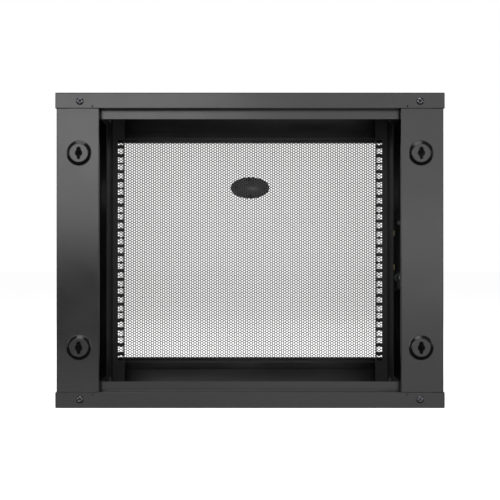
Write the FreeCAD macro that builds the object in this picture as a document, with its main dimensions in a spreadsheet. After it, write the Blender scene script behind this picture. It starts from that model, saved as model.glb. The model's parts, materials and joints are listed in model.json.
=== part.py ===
import FreeCAD, Part
import os
import re
import Sketcher

# Wall-mount network rack cabinet for 19-inch equipment, open at the back.
# Millimetres. X runs right as seen from the front, the door faces -Y, the wall is at +Y,
# Z is up. The origin is on the floor under the middle of the carcass footprint.

SIZES = {
    # overall
    "width": 600, "depth": 400, "rack_units": 9, "unit_pitch": 44.45, "end_margin": 42.975,
    "gauge": 1.5, "bend_radius": 1.4, "fold_radius": 1.1,
    # top and bottom panels
    "flange_drop": 24.5, "return_depth": 24, "lip_drop": 14.1, "hem": 10, "hem_inset": 20,
    "fan_pitch": 105, "fan_spread": 260, "fan_from_front": 130, "fan_screw_radius": 2.25,
    "slot_length": 104, "slot_width": 5, "slot_pitch": 10,
    "entry_width": 260, "entry_depth": 70, "entry_from_rear": 60, "cover_lap": 12,
    "tap_from_side": 57.5, "tap_drop": 21, "tap_radius": 1.25,
    # posts
    "side_inset": 2, "rear_flange": 65.5, "front_flange": 14, "web": 44, "seam": 0.4,
    "post_hem": 9, "tab_width": 36, "tab_from_skin": 4, "tab_overlap": 10, "screw_from_side": 38, "screw_drop": 13.3,
    # wall keyholes in raised bosses
    "boss_radius": 18.6, "boss_top_radius": 14.5, "boss_rise": 5, "boss_softness": 2.0, "boss_from_side": 36.7,
    "boss_from_middle": 149.7, "keyhole_radius": 5.75, "keyhole_reach": 9.75,
    "neck_radius": 3.5, "tail_radius": 2.75,
    # 19-inch rails
    "opening": 450.4, "rail_face": 22, "rail_leg": 77, "rail_gauge": 2, "rail_setback": 48,
    "rail_end_gap": 1, "hole_centres": 465.1, "hole_side": 9.5, "hole_first": 6.35,
    "hole_step": 15.875,
    # bars that carry the rails
    "bar_drop": 24, "bar_shelf": 25, "bar_from_rear": 44, "bar_slot": 34, "bar_slot_pitch": 52,
    # door
    "door_gap": 3, "door_depth": 22, "door_margin": 2, "stile": 48, "cross_border": 43,
    "mesh_gauge": 1.2, "mesh_lap": 10, "retainer_width": 4, "retainer_depth": 16, "door_lip": 9,
    # door hinges
    "pin_inset": 9.5, "pin_depth": 12, "pin_radius": 3, "pin_clearance": 0.08, "ear_gauge": 2.5,
    "ear_height": 43, "ear_width": 18, "hinge_from_end": 48, "tab_gap": 0.6, "notch_margin": 5,
    # door lock
    "lock_from_edge": 23, "lock_height": 151, "lock_width": 26, "lock_spread": 51,
    "fix_boss": 12, "lock_boss": 13, "plug_radius": 5.5, "plug_clearance": 0.08,
    "cam_length": 19.5, "cam_width": 11, "cam_gauge": 2.5, "cam_gap": 1.6,
    # oval badge
    "badge_width": 72, "badge_height": 39.5, "badge_gauge": 2.4, "badge_rise": 115.6,
    # side panels
    "panel_gauge": 1.2, "panel_gap": 1.2, "panel_return": 12, "panel_lock_drop": 21,
    "side_cam_length": 30, "barrel_radius": 9,
    # fasteners
    "thread_radius": 3, "head_radius": 5.75, "head_height": 3.2, "nut_radius": 5.5,
    "nut_height": 4, "cover_screw_radius": 2, "small_head_radius": 4, "low_head_height": 2,
    "cam_head_radius": 4.2, "cam_head_height": 2.4,
    # earth stud
    "stud_from_rear": 24, "stud_height": 18, "washer_radius": 7, "washer_gauge": 1.4,
}

doc = FreeCAD.newDocument("NetworkCabinet")
sheet = doc.addObject("Spreadsheet::Sheet", "Sizes")
for row, (name, value) in enumerate(SIZES.items(), 1):
    sheet.set(f"A{row}", name)
    sheet.set(f"B{row}", str(value))
    sheet.setAlias(f"B{row}", name)
doc.recompute()

PARTS = []       # every finished sub-part
CUTS = []        # pockets, compared with their bases before export
V = FreeCAD.Vector


def bound(text):
    """An expression with its size names pointed at the sheet."""
    return re.sub(r"[a-z_]{3,}", lambda m: "Sizes." + m[0] if m[0] in SIZES else m[0], str(text))


def number(text):
    """The present value of an expression."""
    value = sheet.evalExpression(bound(text))
    return float(getattr(value, "Value", value))


def ordered(span):
    low, high = span
    return (low, high) if number(low) <= number(high) else (high, low)


# Places that many pieces share, as expressions on the sheet
HALF = "(width/2)"
REAR = "(depth/2)"
FRONT = "(door_gap + door_depth - depth/2)"
DOOR = "(-depth/2)"
TALL = "(rack_units*unit_pitch + 2*end_margin)"
MIDDLE = "(rack_units*unit_pitch/2 + end_margin)"
SIDE = "(width/2 - side_inset)"
LIP_HALF = "(width/2 - side_inset - rear_flange)"
RAIL_IN = "(opening/2)"
RAIL_OUT = "(opening/2 + rail_face + rail_gauge)"
LOCK_X = "(lock_from_edge + side_inset - width/2)"
PIN_X = "(width/2 - pin_inset)"
PIN_Y = "(pin_depth - depth/2)"
OPEN_X = "(width/2 - door_margin - stile)"
OPEN_LOW = "(cross_border + door_margin)"
SKIN = "(gauge - depth/2)"


def mirrored(side, place):
    """A place on the +X side, or its mirror image on the -X side."""
    return f"({place})" if side > 0 else f"(-({place}))"


def sides(side, low, high):
    return mirrored(side, low), mirrored(side, high)


def level(top, drop):
    """A height counted inward from the top face, or from the bottom face."""
    return f"({TALL} - ({drop}))" if top else f"({drop})"


def levels(top, low, high):
    return level(top, low), level(top, high)


# Feature helpers -------------------------------------------------------------------------

PLANES = {"X": "YZ_Plane", "Y": "XZ_Plane", "Z": "XY_Plane"}
FLAT_AXES = {"X": (1, 2), "Y": (0, 2), "Z": (0, 1)}


def new_body(label):
    body = doc.addObject("PartDesign::Body", label)
    body.Label = label
    PARTS.append(body)
    return body


def new_sketch(body, axis, place):
    """A sketch square to one axis of the cabinet, at that place along it."""
    sketch = body.newObject("Sketcher::SketchObject", body.Label + "_sketch")
    role = PLANES[axis]
    plane = next(f for f in body.Origin.OriginFeatures if f.Role == role)
    sketch.AttachmentSupport = [(plane, "")]
    sketch.MapMode = "FlatFace"
    sign = "-" if axis == "Y" else ""
    sketch.setExpression("AttachmentOffset.Base.z", bound(f"{sign}({place})"))
    return sketch


def fix_point(sketch, line, end, x, y):
    for kind, text in (("DistanceX", x), ("DistanceY", y)):
        rule = sketch.addConstraint(Sketcher.Constraint(kind, -1, 1, line, end, number(text)))
        sketch.setExpression(f"Constraints[{rule}]", bound(text))


def draw_outline(sketch, corners):
    spots = [V(number(x), number(y), 0) for x, y in corners]
    count = len(corners)
    first = sketch.GeometryCount
    for k in range(count):
        sketch.addGeometry(Part.LineSegment(spots[k], spots[(k + 1) % count]), False)
    for k in range(count):
        following = first + (k + 1) % count
        sketch.addConstraint(Sketcher.Constraint("Coincident", first + k, 2, following, 1))
        fix_point(sketch, first + k, 1, *corners[k])


def draw_rectangle(sketch, x, y):
    (x0, x1), (y0, y1) = ordered(x), ordered(y)
    draw_outline(sketch, [(x0, y0), (x1, y0), (x1, y1), (x0, y1)])


def draw_circle(sketch, x, y, radius):
    ring = sketch.addGeometry(
        Part.Circle(V(number(x), number(y), 0), V(0, 0, 1), number(radius)), False)
    rule = sketch.addConstraint(Sketcher.Constraint("Radius", ring, number(radius)))
    sketch.setExpression(f"Constraints[{rule}]", bound(radius))
    fix_point(sketch, ring, 3, x, y)


def draw_stadium(sketch, x, low, high, radius):
    """An upright slot with round ends, centred on x, its end centres at low and high."""
    cx, y0, y1, r = number(x), number(low), number(high), number(radius)
    up = sketch.addGeometry(Part.ArcOfCircle(Part.Circle(V(cx, y1, 0), V(0, 0, 1), r), 0, 3.141593))
    down = sketch.addGeometry(
        Part.ArcOfCircle(Part.Circle(V(cx, y0, 0), V(0, 0, 1), r), 3.141593, 6.283185))
    left = sketch.addGeometry(Part.LineSegment(V(cx - r, y1, 0), V(cx - r, y0, 0)))
    right = sketch.addGeometry(Part.LineSegment(V(cx + r, y0, 0), V(cx + r, y1, 0)))
    for a, a_end, b, b_end in ((up, 2, left, 1), (left, 2, down, 1), (down, 2, right, 1),
                               (right, 2, up, 1)):
        sketch.addConstraint(Sketcher.Constraint("Tangent", a, a_end, b, b_end))
    rule = sketch.addConstraint(Sketcher.Constraint("Radius", up, r))
    sketch.setExpression(f"Constraints[{rule}]", bound(radius))
    fix_point(sketch, up, 3, x, high)
    rule = sketch.addConstraint(Sketcher.Constraint("DistanceY", -1, 1, down, 3, y0))
    sketch.setExpression(f"Constraints[{rule}]", bound(low))


def add(body, axis, span, draw):
    """Pads what draw() puts in a sketch from one place to another along an axis."""
    low, high = ordered(span)
    sketch = new_sketch(body, axis, high if axis == "Y" else low)
    draw(sketch)
    pad = body.newObject("PartDesign::Pad", body.Label + "_pad")
    pad.Profile = sketch
    pad.setExpression("Length", bound(f"({high}) - ({low})"))
    return pad


def cut(body, axis, span, draw):
    """Pockets what draw() puts in a sketch from one place to another along an axis."""
    low, high = ordered(span)
    sketch = new_sketch(body, axis, low if axis == "Y" else high)
    draw(sketch)
    pocket = body.newObject("PartDesign::Pocket", body.Label + "_pocket")
    pocket.Profile = sketch
    pocket.setExpression("Length", bound(f"({high}) - ({low})"))
    CUTS.append(pocket)
    return pocket


def plate(body, x, y, z, axis="Z", work=add):
    """A rectangular block between pairs of places."""
    spans = {"X": x, "Y": y, "Z": z}
    flat = [spans["XYZ"[k]] for k in FLAT_AXES[axis]]
    return work(body, axis, spans[axis], lambda sketch: draw_rectangle(sketch, *flat))


def disc(body, axis, centre, radius, span, work=add):
    return work(body, axis, span, lambda sketch: draw_circle(sketch, *centre, radius))


def opening_cut(body, x, y, z, axis="Z"):
    return plate(body, x, y, z, axis, cut)


def round_edges(body, radius, wanted):
    """Fillets the straight edges of the body that wanted() picks by their middle and length."""
    doc.recompute()
    base = body.Tip
    names = []
    for k, edge in enumerate(base.Shape.Edges, 1):
        if not edge.Degenerated and edge.Curve.TypeId == "Part::GeomLine" and wanted(
                edge.CenterOfMass, edge):
            names.append(f"Edge{k}")
    fillet = body.newObject("PartDesign::Fillet", body.Label + "_round")
    fillet.Base = (base, names)
    fillet.setExpression("Radius", bound(radius))
    return fillet


def round_rings(body, radius, rings):
    """Fillets the round edges whose radius and place along Y are listed."""
    doc.recompute()
    base = body.Tip
    names = []
    for k, edge in enumerate(base.Shape.Edges, 1):
        if edge.Curve.TypeId == "Part::GeomCircle":
            size, y = edge.Curve.Radius, edge.Curve.Center.y
            if any(near(size, number(r)) and near(y, number(place)) for r, place in rings):
                names.append(f"Edge{k}")
    fillet = body.newObject("PartDesign::Fillet", body.Label + "_soft")
    fillet.Base = (base, names)
    fillet.setExpression("Radius", bound(radius))


def near(a, b):
    return abs(a - b) < 0.01


def group(label, pieces):
    """Separate identical solids kept as one named part."""
    compound = doc.addObject("Part::Compound", label)
    compound.Label = label
    compound.Links = pieces
    PARTS.append(compound)
    return compound


def place(thing, x, y, z, axis=None, angle=0):
    if axis:
        thing.Placement = FreeCAD.Placement(V(0, 0, 0), FreeCAD.Rotation(V(*axis), angle))
    for letter, text in zip("xyz", (x, y, z)):
        thing.setExpression(f"Placement.Base.{letter}", bound(text))
    return thing


def primitive(kind, **sizes):
    thing = doc.addObject("Part::" + kind, kind)
    for name, text in sizes.items():
        thing.setExpression(name, bound(text))
    return thing


def join(*pieces):
    fuse = doc.addObject("Part::MultiFuse", "Joined")
    fuse.Shapes = list(pieces)
    return fuse


def subtract(base, tool):
    result = doc.addObject("Part::Cut", "Trimmed")
    result.Base = base
    result.Tool = tool
    return result


# Turns that point a fastener's head along an axis; unturned, the head is at +Z
HEAD_UP = ((1, 0, 0), 0)
HEAD_DOWN = ((1, 0, 0), 180)
HEAD_REAR = ((1, 0, 0), -90)
HEAD_LEFT = ((0, 1, 0), -90)
HEAD_RIGHT = ((0, 1, 0), 90)


def pan_screw(x, y, z, turn, radius, head, height, length):
    """A cross-recess pan head screw whose head seats at the given place."""
    shank = primitive("Cylinder", Radius=radius, Height=length)
    place(shank, "0", "0", f"-({length})")
    rim = primitive("Cylinder", Radius=head, Height=f"({height})*0.45")
    dome = primitive("Cone", Radius1=head, Radius2=f"({head})*0.62", Height=f"({height})*0.55")
    place(dome, "0", "0", f"({height})*0.45")
    arms = []
    for along in ("Length", "Width"):
        arm = primitive("Box", Length=f"({head})*0.22", Width=f"({head})*0.22", Height=height)
        arm.setExpression(along, bound(f"({head})*1.1"))
        across = "y" if along == "Length" else "x"
        down = "x" if along == "Length" else "y"
        arm.setExpression(f"Placement.Base.{across}", bound(f"-({head})*0.11"))
        arm.setExpression(f"Placement.Base.{down}", bound(f"-({head})*0.55"))
        arm.setExpression("Placement.Base.z", bound(f"({height})*0.4"))
        arms.append(arm)
    screw = subtract(join(shank, rim, dome), join(*arms))
    return place(screw, x, y, z, *turn)


def hex_nut(x, y, z, turn, bore, across, height):
    nut = subtract(primitive("Prism", Circumradius=across, Height=height),
                   primitive("Cylinder", Radius=bore, Height=height))
    return place(nut, x, y, z, *turn)


# Top and bottom panels --------------------------------------------------------------------

SCREW_X = f"({SIDE} + side_inset - screw_from_side)"
TAP_X = f"({SIDE} + side_inset - tap_from_side)"
FAN_Y = f"({FRONT} + fan_from_front)"


def fan_openings(body):
    """Two groups of straight air slots with four fan screw holes each."""
    through = levels(True, "-1", "gauge + 1")

    def slots(sketch):
        for side in (1, -1):
            middle = mirrored(side, "fan_spread/2")
            for k in range(-5, 6):
                line = f"({FAN_Y} + ({k})*slot_pitch)"
                draw_rectangle(sketch, (f"({middle} - slot_length/2)", f"({middle} + slot_length/2)"),
                               (f"({line} - slot_width/2)", f"({line} + slot_width/2)"))

    def screw_holes(sketch):
        for side in (1, -1):
            for dx in ("-fan_pitch/2", "fan_pitch/2"):
                for dy in ("-fan_pitch/2", "fan_pitch/2"):
                    draw_circle(sketch, f"({mirrored(side, 'fan_spread/2')} + {dx})",
                                f"({FAN_Y} + {dy})", "fan_screw_radius")
    cut(body, "Z", through, slots)
    cut(body, "Z", through, screw_holes)


ENTRY_Y = (f"({REAR} - entry_from_rear - entry_depth)", f"({REAR} - entry_from_rear)")
COVER_HOLES = [(f"({sx}*(entry_width/2 + cover_lap/2))", f"({y} + {sy}*cover_lap/2)")
               for sx in (-1, 1) for y, sy in ((ENTRY_Y[0], -1), (ENTRY_Y[1], 1))]


def end_panel(label, top):
    """A bent tray: sheet, four flanges, a folded beam at the rear and a hem at the front."""
    body = new_body(label)
    wide = (f"(-{HALF})", HALF)
    inner = (f"(gauge - {HALF})", f"({HALF} - gauge)")
    lip = (f"(-{LIP_HALF})", LIP_HALF)
    flange = levels(top, "0", "flange_drop")
    plate(body, wide, (FRONT, REAR), levels(top, "0", "gauge"))
    plate(body, wide, (f"({REAR} - gauge)", REAR), flange, "Y")
    plate(body, wide, (FRONT, f"({FRONT} + gauge)"), flange, "Y")
    for side in (1, -1):
        plate(body, sides(side, f"{HALF} - gauge", HALF), (FRONT, REAR), flange, "X")
    plate(body, lip, (f"({REAR} - return_depth)", REAR),
          levels(top, "flange_drop - gauge", "flange_drop"))
    plate(body, lip, (f"({REAR} - return_depth)", f"({REAR} - return_depth + gauge)"),
          levels(top, "flange_drop - gauge", "flange_drop + lip_drop"), "Y")
    plate(body, (f"({inner[0]} + hem_inset)", f"({inner[1]} - hem_inset)"),
          (f"({FRONT} + gauge)", f"({FRONT} + 2*gauge)"),
          levels(top, "flange_drop - hem", "flange_drop"), "Y")
    opening_cut(body, ("-entry_width/2", "entry_width/2"), ENTRY_Y, levels(top, "-1", "gauge + 1"))

    def rear_holes(sketch):
        for side in (1, -1):
            draw_circle(sketch, mirrored(side, SCREW_X), level(top, "screw_drop"), "thread_radius")
            draw_circle(sketch, mirrored(side, TAP_X), level(top, "tap_drop"), "tap_radius")

    def cover_holes(sketch):
        for x, y in COVER_HOLES:
            draw_circle(sketch, x, y, "cover_screw_radius")

    cut(body, "Y", (f"({REAR} - gauge - 1)", f"({REAR} + 1)"), rear_holes)
    cut(body, "Z", levels(top, "-1", "gauge + 1"), cover_holes)
    if top:
        fan_openings(body)
    outer = number(level(top, "0"))
    half, rear, front = number(HALF), number(REAR), number(FRONT)
    round_edges(body, "bend_radius", lambda m, e: (
        (near(m.z, outer) and (near(m.y, rear) or near(m.y, front) or near(abs(m.x), half)))
        or (near(abs(m.x), half) and (near(m.y, rear) or near(m.y, front)))))
    fold, back = number(level(top, "flange_drop")), number(f"({REAR} - return_depth + gauge)")
    round_edges(body, "fold_radius", lambda m, e: near(m.z, fold) and e.Length > 100 and (
        near(m.y, rear) or near(m.y, back)))
    return body


end_panel("top_panel", True)
end_panel("bottom_panel", False)


def entry_cover(label, top):
    body = new_body(label)
    lap = "cover_lap"
    plate(body, (f"(-entry_width/2 - {lap})", f"(entry_width/2 + {lap})"),
          (f"({ENTRY_Y[0]} - {lap})", f"({ENTRY_Y[1]} + {lap})"), levels(top, "gauge", "2*gauge"))

    def holes(sketch):
        for x, y in COVER_HOLES:
            draw_circle(sketch, x, y, "cover_screw_radius")
    cut(body, "Z", levels(top, "gauge - 1", "2*gauge + 1"), holes)


entry_cover("cable_cover_top", True)
entry_cover("cable_cover_bottom", False)
group("cable_cover_screws", [
    pan_screw(x, y, level(top, "2*gauge"), HEAD_DOWN if top else HEAD_UP,
              "cover_screw_radius", "small_head_radius", "low_head_height", "1.8*gauge")
    for top in (True, False) for x, y in COVER_HOLES])


# Posts -------------------------------------------------------------------------------------

POST_LOW = "(flange_drop + seam)"
POST_HIGH = f"({TALL} - flange_drop - seam)"
REAR_IN = f"({SIDE} - rear_flange)"


def wall_boss(body, side, up):
    """A raised round boss with a two-way keyhole, pressed out of the rear flange."""
    x = mirrored(side, f"{SIDE} + side_inset - boss_from_side")
    z = f"({MIDDLE} {'+' if up else '-'} boss_from_middle)"
    plane = next(f for f in body.Origin.OriginFeatures if f.Role == PLANES["Y"])
    slope = "((boss_radius - boss_top_radius)/boss_rise)"
    for kind, start, r0, rise in (
            ("AdditiveCone", f"({REAR} + boss_rise)", "boss_top_radius", "boss_rise + gauge/2"),
            ("SubtractiveCone", f"({REAR} + boss_rise - gauge)", "boss_top_radius - 1",
             "boss_rise + 0.2")):
        cone = body.newObject("PartDesign::" + kind, body.Label + "_boss")
        cone.AttachmentSupport = [(plane, "")]
        cone.MapMode = "FlatFace"
        for letter, text in zip("xyz", (x, z, f"-{start}")):
            cone.setExpression(f"AttachmentOffset.Base.{letter}", bound(text))
        cone.setExpression("Radius1", bound(r0))
        cone.setExpression("Radius2", bound(f"{r0} + ({rise})*{slope}"))
        cone.setExpression("Height", bound(rise))
    span = (f"({REAR} + boss_rise - gauge - 1)", f"({REAR} + boss_rise + 1)")
    disc(body, "Y", (x, z), "keyhole_radius", span, cut)
    cut(body, "Y", span, lambda s: draw_stadium(
        s, x, z, f"({z} + keyhole_reach - neck_radius)", "neck_radius"))
    cut(body, "Y", span, lambda s: draw_stadium(
        s, x, f"({z} - keyhole_reach + tail_radius)", z, "tail_radius"))


def rear_post(label, side):
    body = new_body(label)
    flange_y = (f"({REAR} - gauge)", REAR)
    tab_y = (f"({REAR} - 2*gauge)", f"({REAR} - gauge)")
    plate(body, sides(side, REAR_IN, SIDE), flange_y, (POST_LOW, POST_HIGH), "Y")
    plate(body, sides(side, f"{SIDE} - gauge", SIDE), (f"({REAR} - web)", REAR),
          (POST_LOW, POST_HIGH), "X")
    plate(body, sides(side, f"{SIDE} - gauge", SIDE), (f"({REAR} - web)", tab_y[0]),
          ("(2*gauge)", f"({TALL} - 2*gauge)"), "X")
    plate(body, sides(side, REAR_IN, f"{REAR_IN} + gauge"), (f"({REAR} - post_hem)", REAR),
          (POST_LOW, POST_HIGH), "X")
    for top in (True, False):
        reach = levels(top, "gauge + tab_from_skin", "flange_drop + tab_overlap")
        plate(body, sides(side, f"{SCREW_X} - tab_width/2", f"{SCREW_X} + tab_width/2"),
              tab_y, reach, "Y")
        disc(body, "Y", (mirrored(side, SCREW_X), level(top, "screw_drop")), "thread_radius",
             (f"({REAR} - 2*gauge - 1)", REAR), cut)
    outer, rear = number(mirrored(side, SIDE)), number(REAR)
    inner = number(mirrored(side, REAR_IN))
    round_edges(body, "bend_radius", lambda m, e: (
        near(m.x, outer) and near(m.y, rear) and e.Length > 50))
    round_edges(body, "fold_radius", lambda m, e: (
        near(m.x, inner) and near(m.y, rear) and e.Length > 50))
    for up in (True, False):
        wall_boss(body, side, up)
    round_rings(body, "boss_softness", (("boss_radius", REAR),
                                        ("boss_top_radius", f"({REAR} + boss_rise)")))


def front_post(label, side):
    body = new_body(label)
    plate(body, sides(side, f"{SIDE} - front_flange", SIDE), (FRONT, f"({FRONT} + gauge)"),
          (POST_LOW, POST_HIGH), "Y")
    plate(body, sides(side, f"{SIDE} - gauge", SIDE), (FRONT, f"({FRONT} + web)"),
          (POST_LOW, POST_HIGH), "X")
    plate(body, sides(side, f"{SIDE} - gauge", SIDE), (f"({FRONT} + 2*gauge)", f"({FRONT} + web)"),
          ("(2*gauge)", f"({TALL} - 2*gauge)"), "X")
    if side > 0:
        for low, high in EAR_SPANS:
            opening_cut(body, (f"({SIDE} - front_flange - 1)", f"({SIDE} - gauge)"),
                        (f"({FRONT} - 1)", f"({FRONT} + gauge + 1)"),
                        (f"({low} - 1)", f"({high} + 1)"), "Y")


# Hinges: an ear on the carcass carries a pin, and a tab on the door turns on it
EAR_LEVELS = (f"({TALL} - hinge_from_end)", "(hinge_from_end + ear_height)")
EAR_SPANS = [(f"({z} - ear_height)", z) for z in EAR_LEVELS]
EAR_OUT = f"({SIDE} - gauge)"
EAR_X = (f"({EAR_OUT} - ear_width + 4)", EAR_OUT)

for side, word in ((-1, "left"), (1, "right")):
    rear_post("rear_post_" + word, side)
    front_post("front_post_" + word, side)

group("rear_flange_screws", [
    pan_screw(mirrored(side, SCREW_X), REAR, level(top, "screw_drop"), HEAD_REAR,
              "thread_radius", "head_radius", "head_height", "2*gauge + nut_height")
    for side in (1, -1) for top in (True, False)])
group("rear_flange_nuts", [
    hex_nut(mirrored(side, SCREW_X), f"({REAR} - 2*gauge - nut_height)",
            level(top, "screw_drop"), HEAD_REAR, "thread_radius", "nut_radius", "nut_height")
    for side in (1, -1) for top in (True, False)])


# Depth bars and mounting rails --------------------------------------------------------------

RAIL_FRONT = f"({FRONT} + rail_setback)"
RAIL_REAR = f"({RAIL_FRONT} + rail_gauge + rail_leg)"
BAR_IN = RAIL_OUT
RAIL_SCREW_Y = f"({RAIL_FRONT} + rail_gauge + rail_leg/2)"


def depth_bar(label, side, top):
    body = new_body(label)
    y = (f"({FRONT} + 3*gauge)", f"({REAR} - bar_from_rear)")
    x = sides(side, BAR_IN, f"{BAR_IN} + gauge")
    plate(body, x, y, levels(top, "gauge", "gauge + bar_drop"), "X")
    plate(body, sides(side, BAR_IN, f"{BAR_IN} + bar_shelf"), y, levels(top, "gauge", "2*gauge"))

    def slots(sketch):
        for k in range(-2, 4):
            middle = f"({RAIL_SCREW_Y} + ({k})*bar_slot_pitch)"
            draw_rectangle(sketch, (f"({middle} - bar_slot/2)", f"({middle} + bar_slot/2)"),
                           levels(top, "screw_drop + 1 - thread_radius",
                                  "screw_drop + 1 + thread_radius"))
    cut(body, "X", sides(side, f"{BAR_IN} - 1", f"{BAR_IN} + gauge + 1"), slots)


def mounting_rail(label, side):
    """An angle with three square holes to each rack unit."""
    body = new_body(label)
    z = ("(gauge + rail_end_gap)", f"({TALL} - gauge - rail_end_gap)")
    plate(body, sides(side, RAIL_IN, RAIL_OUT), (RAIL_FRONT, f"({RAIL_FRONT} + rail_gauge)"), z, "Y")
    plate(body, sides(side, f"{RAIL_OUT} - rail_gauge", RAIL_OUT), (RAIL_FRONT, RAIL_REAR), z, "X")
    outer, front = number(mirrored(side, RAIL_OUT)), number(RAIL_FRONT)
    round_edges(body, "rail_gauge*0.9", lambda m, e: (
        near(m.x, outer) and near(m.y, front) and e.Length > 50))
    inner, back = number(mirrored(side, f"{RAIL_OUT} - rail_gauge")), number(f"{RAIL_FRONT} + rail_gauge")
    round_edges(body, "fold_radius", lambda m, e: (
        near(m.x, inner) and near(m.y, back) and e.Length > 50))
    for top in (True, False):
        disc(body, "X", (RAIL_SCREW_Y, level(top, "screw_drop + 1")), "thread_radius",
             sides(side, f"{RAIL_OUT} - rail_gauge - 1", f"{RAIL_OUT} + 1"), cut)
    column = mirrored(side, "hole_centres/2")

    def unit(sketch):
        for k in range(3):
            z_hole = f"(end_margin + hole_first + {k}*hole_step)"
            draw_rectangle(sketch, (f"({column} - hole_side/2)", f"({column} + hole_side/2)"),
                           (f"({z_hole} - hole_side/2)", f"({z_hole} + hole_side/2)"))
    holes = cut(body, "Y", (f"({RAIL_FRONT} - 1)", f"({RAIL_FRONT} + rail_gauge + 1)"), unit)
    pattern = body.newObject("PartDesign::LinearPattern", label + "_units")
    pattern.Originals = [holes]
    axis = next(f for f in body.Origin.OriginFeatures if f.Role == "Z_Axis")
    pattern.Direction = (axis, [""])
    pattern.Mode = "Spacing"
    pattern.setExpression("Offset", bound("unit_pitch"))
    pattern.setExpression("Occurrences", bound("rack_units"))
    body.Tip = pattern
    CUTS.append(pattern)


for side, word in ((-1, "left"), (1, "right")):
    mounting_rail("mounting_rail_" + word, side)
    depth_bar("depth_bar_top_" + word, side, True)
    depth_bar("depth_bar_bottom_" + word, side, False)

group("rail_screws", [
    pan_screw(mirrored(side, f"{RAIL_OUT} - rail_gauge"), RAIL_SCREW_Y,
              level(top, "screw_drop + 1"), HEAD_LEFT if side > 0 else HEAD_RIGHT,
              "thread_radius", "head_radius", "low_head_height", "rail_gauge + gauge + nut_height")
    for side in (1, -1) for top in (True, False)])
group("rail_nuts", [
    hex_nut(mirrored(side, f"{RAIL_OUT} + gauge"), RAIL_SCREW_Y, level(top, "screw_drop + 1"),
            HEAD_RIGHT if side > 0 else HEAD_LEFT, "thread_radius", "nut_radius", "nut_height")
    for side in (1, -1) for top in (True, False)])


# Earth stud on the floor of the carcass, behind the right rear post
STUD_X = f"({SIDE} - rear_flange/2)"
STUD_Y = f"({REAR} - stud_from_rear)"
stud = primitive("Cylinder", Radius="thread_radius", Height="stud_height")
place(stud, STUD_X, STUD_Y, "gauge")
group("earth_stud", [stud])
washer = subtract(primitive("Cylinder", Radius="washer_radius", Height="washer_gauge"),
                  primitive("Cylinder", Radius="thread_radius", Height="washer_gauge"))
place(washer, STUD_X, STUD_Y, "gauge")
group("earth_washer", [washer])
group("earth_nut", [hex_nut(STUD_X, STUD_Y, "gauge + washer_gauge", HEAD_UP, "thread_radius",
                            "nut_radius", "nut_height")])


# Door ---------------------------------------------------------------------------------------

DOOR_LOW, DOOR_HIGH = "door_margin", f"({TALL} - door_margin)"
OPEN_HIGH = f"({TALL} - {OPEN_LOW})"
DOOR_BACK = f"({DOOR} + door_depth)"
NOTCHES = [(f"({z} - ear_height - notch_margin)", f"({z} + ear_gauge + tab_gap + notch_margin)")
           for z in EAR_LEVELS]


def door_frame():
    """A pan with a big window, its edge turned back and in again all round."""
    body = new_body("door_frame")
    edge = f"({HALF} - door_margin)"
    plate(body, (f"(-{edge})", edge), (DOOR, SKIN), (DOOR_LOW, DOOR_HIGH), "Y")
    opening_cut(body, (f"(-{OPEN_X})", OPEN_X), (f"({DOOR} - 1)", f"({SKIN} + 1)"),
                (OPEN_LOW, OPEN_HIGH), "Y")

    def ring(inset_outer, inset_inner):
        def draw(sketch):
            for inset in (inset_outer, inset_inner):
                draw_rectangle(sketch, (f"({inset} - {edge})", f"({edge} - {inset})"),
                               (f"({DOOR_LOW} + {inset})", f"({DOOR_HIGH} - {inset})"))
        return draw
    add(body, "Y", (DOOR, DOOR_BACK), ring("0", "gauge"))
    add(body, "Y", (f"({DOOR_BACK} - gauge)", DOOR_BACK), ring("0", "door_lip"))
    for low, high in NOTCHES:
        opening_cut(body, (f"({edge} - door_lip - 1)", f"({edge} + 1)"),
                    (SKIN, f"({DOOR_BACK} + 1)"), (low, high), "X")
    disc(body, "Y", (LOCK_X, LOCK_LOW), "barrel_radius", (f"({DOOR} - 1)", f"({SKIN} + 1)"), cut)
    disc(body, "Y", (LOCK_X, LOCK_HIGH), "thread_radius", (f"({DOOR} - 1)", f"({SKIN} + 1)"), cut)
    outer = number(edge)
    ends = (number(DOOR_LOW), number(DOOR_HIGH))
    front = number(DOOR)
    round_edges(body, "bend_radius", lambda m, e: near(m.y, front) and e.Length > 100 and (
        near(abs(m.x), outer) or any(near(m.z, z) for z in ends)))


LOCK_HIGH = f"({MIDDLE} + lock_spread)"
LOCK_LOW = f"({MIDDLE} - lock_spread)"
door_frame()

MESH_X = f"({OPEN_X} + mesh_lap)"
MESH_LOW = f"({OPEN_LOW} - mesh_lap)"
MESH_HIGH = f"({OPEN_HIGH} + mesh_lap)"
MESH_BACK = f"({SKIN} + mesh_gauge)"
plate(new_body("door_mesh"), (f"(-{MESH_X})", MESH_X), (SKIN, MESH_BACK), (MESH_LOW, MESH_HIGH), "Y")

retainer = new_body("mesh_retainer")


def retainer_ring(sketch):
    for grow in ("0", "retainer_width"):
        draw_rectangle(sketch, (f"(-{OPEN_X} - {grow})", f"({OPEN_X} + {grow})"),
                       (f"({OPEN_LOW} - {grow})", f"({OPEN_HIGH} + {grow})"))


add(retainer, "Y", (MESH_BACK, f"({MESH_BACK} + retainer_depth)"), retainer_ring)


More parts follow.
